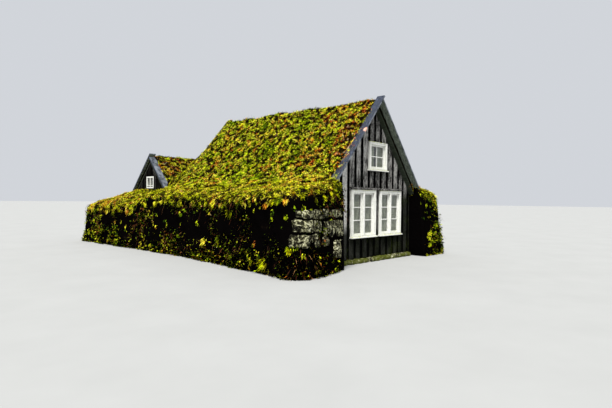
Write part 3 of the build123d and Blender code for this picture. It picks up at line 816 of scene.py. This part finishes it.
# Growth on each slope: name, node, look, tufts and spikes for each square metre
ROOF_GROWTH = [
    ("left", "left_roof_turf", roof_grass, 116, 2300),
    ("right", "right_roof_turf", roof_grass, 86, 1500),
    ("wing_front", "wing_front_roof_turf", wing_grass, 104, 1800),
    ("wing_rear", "wing_rear_roof_turf", wing_grass, 86, 1400),
]
for i, (name, node, look, tuft_share, spike_share) in enumerate(ROOF_GROWTH):
    grow(name + "_roof_", [roofs[node]], "roof_turf", i, [
        (tufts, "grass", tuft_share, open_roof, 101, look, 1, {}),
        (spikes, "moss", spike_share, open_roof, 151, look, 11, dict(length=0.05, width=0.015)),
    ])
main_slopes = [roofs["left_roof_turf"], roofs["right_roof_turf"]]
spikes("ridge_stalks", open_spots(main_slopes, 50, along_ridge, 160), face_twigs, "roof_turf", 19,
       length=0.17, width=0.004, fall=-0.1, wild=0.3)
edge_boards = [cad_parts[name] for name in ("front_left_bargeboard", "rear_bargeboards")]
tufts("verge_grass", open_spots(edge_boards, 420, over_boards, 165), roof_grass, "roof_turf", 21, each=16,
      radius=0.03, length=0.06, fall=0.2)
tufts("eave_grass", open_spots(main_slopes, 90, along_eaves, 166, 0.05), top_grass, "roof_turf", 22,
      length=0.075, width=0.010, fall=0.5)

FRINGE = dict(each=26, radius=0.055, length=0.12, width=0.010, fall=1.1, spread=0.35, lift=0.4, sag=0.7)
FACE_GROWTH = dict(each=18, length=0.085, width=0.017, fall=1.0, spread=0.4, lift=0.4, sag=0.7)

# Growth on the walls of each side: name, nodes, seed and the look of the scattered leaves
WALL_GROWTH = [
    ("left", ("left_turf_wall", "wing_left_turf_bank"), 5, shade_leaves),
    ("right", ("right_turf_wall", "wing_right_turf_bank"), 6, face_leaves),
    ("rear", ("rear_turf_wall", "middle_turf_wall"), 7, face_leaves),
]
for side, nodes, seed, look in WALL_GROWTH:
    grow(side + "_wall_", [walls[node] for node in nodes], "turf_wall", seed, [
        (tufts, "top_grass", 120, on_top, 110, top_grass, 0, dict(each=15, length=0.07, width=0.011)),
        (spikes, "top_moss", 1700, on_top, 170, top_grass, 60, dict(length=0.05, width=0.014)),
        (tufts, "fringe", 95, on_brow, 120, top_grass, 20, FRINGE),
        (tufts, "growth", 75, on_face, 130, face_leaves, 30, FACE_GROWTH),
        (leaves, "leaves", 2200, near_ground, 180, face_leaves, 70, dict(size=0.07)),
        (leaves, "scatter", 1000, scattered, 190, look, 80, dict(size=0.065)),
        (hanging, "twigs", 80, scattered, 140, face_twigs, 40, dict(length=0.32, width=0.008)),
    ])


def on_wall(place):
    """The nearest point of the turf or boards to a place, and its normal."""
    return [list(found) for found in tree.find_nearest(Vector(place))[:2]]


# Ferns and grass tufts that stand out on the left wall's face
FERNS = [(-3.43, 1.80, 1.29), (-3.21, 3.06, 0.54), (-3.36, 2.25, 0.62), (-3.66, 0.74, 0.32),
         (-3.75, 0.26, 0.28), (-3.90, -0.62, 0.61), (-2.64, 6.06, 0.78)]
fern_spots = np.array([on_wall(place) for place in FERNS]).swapaxes(0, 1)
tufts("left_wall_ferns", fern_spots, top_grass, "turf_wall", 90, each=60, radius=0.07, length=0.17,
      width=0.016, fall=0.7, spread=0.8, lift=0.7, sag=0.8)


# Stones


def sphere_cube(divisions):
    """The points and quads of a cube's surface, each side divided evenly."""
    line = np.linspace(-1, 1, divisions + 1)
    sides = []
    for axis, sign in itertools.product(range(3), (-1, 1)):
        a, b = np.meshgrid(line, line, indexing="ij")
        side = np.zeros((divisions + 1, divisions + 1, 3))
        side[..., axis] = sign
        side[..., (axis + 1) % 3] = a
        side[..., (axis + 2) % 3] = b * sign
        sides.append((side.reshape(-1, 3), grid_quads(divisions + 1, divisions + 1)))
    points, faces = merged(sides)
    first, same = np.unique(np.round(points, 5), axis=0, return_index=True, return_inverse=True)[1:]
    return points[first], same.reshape(-1)[faces]


ROUGH_CUBE = sphere_cube(10)


def stone(centre, half, along, round_share, seed):
    """One boulder or squared stone: centre, half sizes along, across and up, and how round it is."""
    points, faces = ROUGH_CUBE
    shape = points * (1 - round_share) + unit(points) * round_share * 1.15
    axes = np.stack([along, np.cross(UP, along), UP])
    placed = (shape * half) @ axes + centre
    outward = unit((shape / np.maximum(half, 0.02)) @ axes)
    lumps = noise(placed, 0.17, seed) * 0.3 + noise(placed, 0.06, seed + 1) * 0.12
    return placed + outward * (lumps * min(half))[:, None], faces


def stone_group(name, shapes, material):
    """Many stones as one piece, none of it below the ground."""
    points, faces = merged([stone(*shape) for shape in shapes])
    points[:, 2] = np.maximum(points[:, 2], 0)
    return mesh_object(name, points, faces, material)


# The end of the left wall, on the ground: from the house outward
PIER_START = np.array([-HALF_WIDTH, -0.55, 0.0])
PIER_ALONG = unit(np.array([-2.02, -0.40, 0.0]))
PIER_LEAN = np.array([0.0, 0.032, 0.0])
STONE_SINK = 0.085
STONE_HALF_DEPTH = 0.12

# Stones in that end: how far along, height, half length, half height, roundness
PIER_STONES = [
    (0.58, 0.98, 0.50, 0.20, 0.25), (0.48, 1.31, 0.30, 0.11, 0.35), (1.03, 1.31, 0.22, 0.11, 0.4),
    (1.36, 1.31, 0.10, 0.10, 0.5), (1.28, 1.06, 0.18, 0.15, 0.55), (1.62, 1.07, 0.15, 0.15, 0.5),
    (1.40, 0.77, 0.18, 0.16, 0.45), (1.69, 0.76, 0.10, 0.15, 0.5), (0.97, 0.73, 0.16, 0.12, 0.5),
    (0.43, 0.53, 0.20, 0.23, 0.35), (1.60, 1.31, 0.14, 0.09, 0.5),
]
pier = []
for i, (distance, level, half_length, half_height, roundness) in enumerate(PIER_STONES):
    centre = (PIER_START + PIER_ALONG * distance + PIER_LEAN * level + UP * level
              + np.array([0, STONE_SINK, 0]))
    half = np.array([half_length * 0.93, STONE_HALF_DEPTH, half_height * 0.9])
    pier.append((centre, half, PIER_ALONG, roundness * 0.8, 300 + 2 * i))

# Stones round that end's outer corner: a point near the wall's face, half length and half height
CORNER_STONES = [((-3.75, -0.76, 1.07), 0.12, 0.13), ((-3.78, -0.72, 0.77), 0.13, 0.14),
                 ((-3.72, -0.80, 1.31), 0.08, 0.07)]
for i, (place, half_length, half_height) in enumerate(CORNER_STONES):
    spot, normal = on_wall(place)
    inward = unit(np.array([-normal[0], -normal[1], 0.0]))
    half = np.array([half_length, STONE_HALF_DEPTH, half_height])
    pier.append((np.array(spot) + inward * STONE_SINK, half, np.cross(UP, inward), 0.4, 340 + 2 * i))
stone_group("left_wall_end_stones", pier, stones)

# The low course under the front boards, from left to right
random = rng(50)
course = []
x = -HALF_WIDTH + 0.02
while x < HALF_WIDTH - 0.1:
    half_length = min(random.uniform(0.09, 0.19), (HALF_WIDTH - x) / 2)
    centre = np.array([x + half_length, 0.0, 0.045])
    half = np.array([half_length * 1.02, 0.13, 0.062])
    course.append((centre, half, np.array([1.0, 0, 0]), 0.5, int(x * 50) + 400))
    x += 2 * half_length
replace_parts(stone_group("footing_stones", course, mossy_stones), "front_footing")


# Boards


def rectangle(a0, z0, a1, z1):
    return [(a0, z0), (a1, z0), (a1, z1), (a0, z1)]


def extruded(outline, low, high, along="y"):
    """A polygon in two axes carried along the third: points and faces as lists."""
    count = len(outline)
    points = []
    for level in (low, high):
        for a, z in outline:
            points.append((a, level, z) if along == "y" else (level, a, z))
    faces = [list(range(count)), list(range(2 * count - 1, count - 1, -1))]
    for i in range(count):
        j = (i + 1) % count
        faces.append([i, i + count, j + count, j])
    return points, faces


def joined(name, shapes, material, tints=None):
    """Many closed polygon solids as one piece, with every face turned outward."""
    points, faces, values = [], [], []
    for i, (places, polygons) in enumerate(shapes):
        start = len(points)
        points += places
        faces += [[v + start for v in polygon] for polygon in polygons]
        values += [tints[i] if tints else 0.5] * len(places)
    mesh = bpy.data.meshes.new(name)
    mesh.from_pydata(points, [], faces)
    mesh.attributes.new("tint", "FLOAT", "POINT").data.foreach_set("value", np.array(values, np.float32))
    mesh.materials.append(material)
    mesh.validate()
    piece = in_scene(name, mesh)
    weld = piece.modifiers.new("weld", "WELD")
    weld.merge_threshold = 1e-6
    applied(piece)
    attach(piece, "root")
    bpy.context.view_layer.objects.active = piece
    for other in bpy.context.selected_objects:
        other.select_set(False)
    piece.select_set(True)
    bpy.ops.object.mode_set(mode="EDIT")
    bpy.ops.mesh.select_all(action="SELECT")
    bpy.ops.mesh.normals_make_consistent(inside=False)
    bpy.ops.object.mode_set(mode="OBJECT")
    return piece


def board_outline(a0, a1, base, peak, slope, middle):
    """One upright board's front, with its top cut to the roof's line."""
    top = [(a1, peak - slope * abs(a1 - middle))]
    if a0 < middle < a1:
        top.append((middle, peak))
    top.append((a0, peak - slope * abs(a0 - middle)))
    return [(a0, base), (a1, base), *top]


def cut(piece, boxes):
    """Cuts square holes through a piece."""
    shapes = [extruded(rectangle(lo[0], lo[2], hi[0], hi[2]), lo[1], hi[1]) for lo, hi in boxes]
    tool = joined("cutter", shapes, timber)
    boolean = piece.modifiers.new("holes", "BOOLEAN")
    boolean.object = tool
    boolean.solver = "EXACT"
    applied(piece)
    bpy.data.objects.remove(tool)


BOARD_PITCH = 0.29
BOARD_WIDTH = 0.18


def boarded_gable(name, node, span, base, roof, plane, material, seed, holes=()):
    """Wide boards in front of a sheet of boards painted near-black as shade.

    span is (low, high), roof is (peak, slope, middle) and plane is (front, back, the axis across it).
    """
    random = rng(seed)
    low, high = span
    front, back, along = plane
    face = front + (back - front) * 0.5
    shapes, tints = [], []
    edge = low
    while edge < high - 0.03:
        end = min(edge + (BOARD_WIDTH + random.uniform(-0.02, 0.02)), high)
        proud = random.uniform(0.0, 0.12) * (face - front)
        outline = board_outline(edge, end, base + random.uniform(0, 0.015), *roof)
        shapes.append(extruded(outline, front + proud, face, along))
        tints.append(random.random())
        edge = end + BOARD_PITCH - BOARD_WIDTH + random.uniform(-0.01, 0.01)
    over = joined(name, shapes, material, tints)
    # The sheet behind takes the near-black painted shade
    sheet = extruded(board_outline(low, high, base, *roof), face + (back - face) * 0.04, back, along)
    under = joined(name + "_underlay", [sheet], shade_boards, [0.0])
    for piece in (over, under):
        if holes:
            cut(piece, holes)
    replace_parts(over, node)


def window_hole(name):
    lo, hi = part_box(name + "_window_sashes")
    margin = 0.035
    return (lo.x - margin, -0.2, lo.z - margin), (hi.x + margin, 0.3, hi.z + margin)


HOUSE_SPAN = (-HALF_WIDTH, HALF_WIDTH)
HOUSE_ROOF = (GABLE_PEAK, ROOF_SLOPE, 0.0)
footing_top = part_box("front_footing")[1].z
boarded_gable("front_boards", "front_gable_boards", HOUSE_SPAN, footing_top, HOUSE_ROOF,
              (0.0, BOARD_DEPTH, "y"), grey_boards, 60,
              [window_hole(name) for name in WINDOWS])
boarded_gable("rear_boards", "rear_gable_boards", HOUSE_SPAN, 0.0, HOUSE_ROOF,
              (REAR_GABLE_Y, REAR_GABLE_Y - BOARD_DEPTH, "y"), dark_boards, 61)
glass_low, glass_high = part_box("wing_window_glass")
for side, seed in ((-1, 62), (1, 63)):
    outer = side * HALF_WIDTH
    hole = ((outer - 0.2, glass_low.y - 0.03, glass_low.z - 0.03),
            (outer + 0.2, glass_high.y + 0.03, glass_high.z + 0.03))
    boarded_gable(f"wing_boards_{seed}", "wing_gable_boards", (WING_FRONT_Y, WING_REAR_Y), 0.0,
                  (WING_PEAK, WING_SLOPE, WING_RIDGE_Y), (outer, outer - side * BOARD_DEPTH, "x"),
                  dark_boards, seed, [hole])


# Windows

BAR = 0.024
LEAF_GAP = 0.154
CASING_EAR = 0.03
FRONT_Y = -0.045
WING_FRAME = 0.045


def ring(x0, z0, x1, z1, width, proud):
    """A mitred rectangular moulding that stands proud of the casings' front."""
    outer = rectangle(x0, z0, x1, z1)
    inner = rectangle(x0 + width, z0 + width, x1 - width, z1 - width)
    return [extruded([outer[i], outer[(i + 1) % 4], inner[(i + 1) % 4], inner[i]], FRONT_Y - proud, FRONT_Y)
            for i in range(4)]


def bars(x0, x1, lo, hi, columns, rows):
    """Glazing bars over one sheet of glass, from x0 to x1."""
    shapes = []
    y0, y1 = lo.y - 0.012, hi.y + 0.012
    for i in range(1, columns):
        x = x0 + (x1 - x0) * i / columns
        shapes.append(extruded(rectangle(x - BAR / 2, lo.z, x + BAR / 2, hi.z), y0, y1))
    for i in range(1, rows):
        z = lo.z + (hi.z - lo.z) * i / rows
        shapes.append(extruded(rectangle(x0, z - BAR / 2, x1, z + BAR / 2), y0 + 0.001, y1 - 0.001))
    return shapes


for name in WINDOWS:
    parts = [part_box(f"{name}_window_{part}") for part in ("glass", "casing", "sashes")]
    (lo, hi), (casing_lo, casing_hi), (sash_lo, sash_hi) = parts
    x0, x1 = casing_lo.x + CASING_EAR, casing_hi.x - CASING_EAR
    shapes = ring(x0 + 0.002, casing_lo.z + 0.045, x1 - 0.002, casing_hi.z - 0.002, 0.020, 0.012)
    shapes += ring(sash_lo.x - 0.016, sash_lo.z - 0.016, sash_hi.x + 0.016, sash_hi.z + 0.016, 0.014, 0.008)
    if name == "attic":
        shapes += bars(lo.x, hi.x, lo, hi, 2, 2)
    else:
        centre = (lo.x + hi.x) / 2
        for a, b in ((lo.x, centre - LEAF_GAP / 2), (centre + LEAF_GAP / 2, hi.x)):
            shapes += bars(a, b, lo, hi, 1, 3)
        mullion = rectangle(centre - 0.012, sash_lo.z, centre + 0.012, sash_hi.z)
        shapes.append(extruded(mullion, FRONT_Y - 0.010, FRONT_Y))
    joined(name + "_window_mouldings", shapes, white_paint)

wing_bars = []
for outer in (-1, 1):
    x0, x1 = sorted((outer * (HALF_WIDTH + 0.008), outer * (HALF_WIDTH - 0.045)))
    y0, y1, z0, z1 = glass_low.y - 0.035, glass_high.y + 0.035, glass_low.z - 0.035, glass_high.z + 0.035
    inner_y0, inner_y1 = y0 + WING_FRAME, y1 - WING_FRAME
    inner_z0, inner_z1 = z0 + WING_FRAME, z1 - WING_FRAME
    for outline in (rectangle(y0, z0, y1, inner_z0), rectangle(y0, inner_z1, y1, z1),
                    rectangle(y0, inner_z0, inner_y0, inner_z1), rectangle(inner_y1, inner_z0, y1, inner_z1),
                    rectangle(WING_RIDGE_Y - BAR / 2, inner_z0, WING_RIDGE_Y + BAR / 2, inner_z1)):
        wing_bars.append(extruded(outline, x0, x1, "x"))
    bar_z = glass_low.z + 0.05
    wing_bars.append(extruded(rectangle(inner_y0, bar_z, inner_y1, bar_z + BAR), x0 + 0.002, x1 - 0.002, "x"))
wing_frames = joined("wing_window_bars", wing_bars, white_paint)
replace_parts(wing_frames, "wing_window_frames")


# Curtains

CURTAIN_SHARE = 0.44
FOLD_LENGTH = 0.052
FOLD_DEPTH = 0.0095


def curtain(name, x0, x1, y, z0, z1, seed):
    """One gathered curtain under its rod; returns the piece and the cloth's flat size."""
    random = rng(seed)
    columns, rows = 84, 16
    folds = round((x1 - x0) / FOLD_LENGTH)
    u = np.linspace(0, 1, columns + 1)
    wander = np.interp(u, np.linspace(0, 1, 6), random.uniform(-0.35, 0.35, 6))
    points = []
    for v in np.linspace(0, 1, rows + 1):
        depth = FOLD_DEPTH * (0.75 + 0.25 * v)
        sway = 0.004 * math.sin(3 * v + seed) * v
        inset = 0.006 * math.sin(math.pi * v)
        x = x0 + inset + (x1 - x0 - 2 * inset) * u
        phase = 2 * math.pi * (folds * u + wander * (1 + 0.3 * v))
        z = np.full(len(u), z1 + (z0 - z1) * v) + sway * 0.3
        points.append(np.stack([x, y + depth * np.sin(phase), z], axis=1))
    grid = np.stack(points)
    piece = mesh_object(name, grid.reshape(-1, 3), grid_quads(rows + 1, columns + 1), curtain_cloth)
    width = np.linalg.norm(np.diff(grid[rows // 2], axis=0), axis=1).sum()
    return piece, (float(width), float(z1 - z0))


for n, name in enumerate(WINDOWS):
    node = name + "_window_curtains"
    lo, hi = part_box(node)
    width = (hi.x - lo.x) * CURTAIN_SHARE
    for i, (letter, x0, x1) in enumerate([("a", lo.x, lo.x + width), ("b", hi.x - width, hi.x)]):
        piece, flat = curtain(f"{name}_curtain_{letter}", x0 + 0.004, x1 - 0.004, (lo.y + hi.y) / 2,
                              lo.z + 0.006, hi.z - 0.001, 70 + 2 * n + i)
        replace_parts(piece, node)


# Finishes of the parts that stay

FINISH_OF = {"inner_timber": timber, "barge_wood": blue_grey, "white_paint": white_paint,
             "window_glass": glass, "rod_metal": brass, "weathered_boards": grey_boards,
             "footing_stone": stones, "turf_wall": wall_soil, "roof_turf": roof_soil,
             "curtain_cloth": curtain_cloth}
SPECIAL = {"wing_gable_boards": dark_boards, "rear_gable_boards": dark_boards,
           "rear_bargeboards": mossy_board}
for name in ("left", "right", "wing_front", "wing_rear"):
    SPECIAL[name + "_roof_boards"] = damp_shaded_underside
for node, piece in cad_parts.items():
    for holder in piece.material_slots:
        holder.material = SPECIAL.get(node, FINISH_OF[holder.material.name.split(".")[0]])


# Camera, floor and light

SUN_DIRECTION = Vector((0.48, 0.28, -0.83))
SUN_STRENGTH = 5.4
SUN_WIDTH = 20
SKY = (0.80, 0.83, 0.88, 1)
SKY_STRENGTH = 0.8

data = bpy.data.cameras.new("camera")
data.sensor_width = 36
data.lens = FOCAL_PIXELS / PHOTO_WIDTH * data.sensor_width
camera = in_scene("camera", data)
turn = Matrix.Rotation(math.radians(HEADING - 90), 4, "Z")
tilt = Matrix.Rotation(math.radians(90 - LOOK_DOWN), 4, "X")
roll = Matrix.Rotation(math.radians(ROLL), 4, "Z")
camera.matrix_world = Matrix.Translation(EYE) @ turn @ tilt @ roll
bpy.context.scene.camera = camera

# A plain pale floor under an even grey-white sky, and one wide soft lamp
bpy.ops.mesh.primitive_plane_add(size=400)
floor = bpy.context.object
floor.name = "floor"
f = Finish("pale_floor", 0.95, 0.1)
pale = f.ramp(f.noise(0.8), [(0.3, (0.36, 0.365, 0.36, 1)), (0.7, (0.38, 0.385, 0.38, 1))])
floor.data.materials.append(f.finish(pale))
world = bpy.data.worlds.new("studio")
bpy.context.scene.world = world
world.use_nodes = True
background = world.node_tree.nodes["Background"]
background.inputs["Color"].default_value = SKY
background.inputs["Strength"].default_value = SKY_STRENGTH
lamp = bpy.data.lights.new("soft_key", "SUN")
lamp.energy = SUN_STRENGTH
lamp.angle = math.radians(SUN_WIDTH)
lamp.color = (1.0, 0.98, 0.94)
key = in_scene("soft_key", lamp)
key.rotation_euler = SUN_DIRECTION.to_track_quat("-Z", "Y").to_euler()

bpy.context.scene.view_settings.view_transform = "Standard"
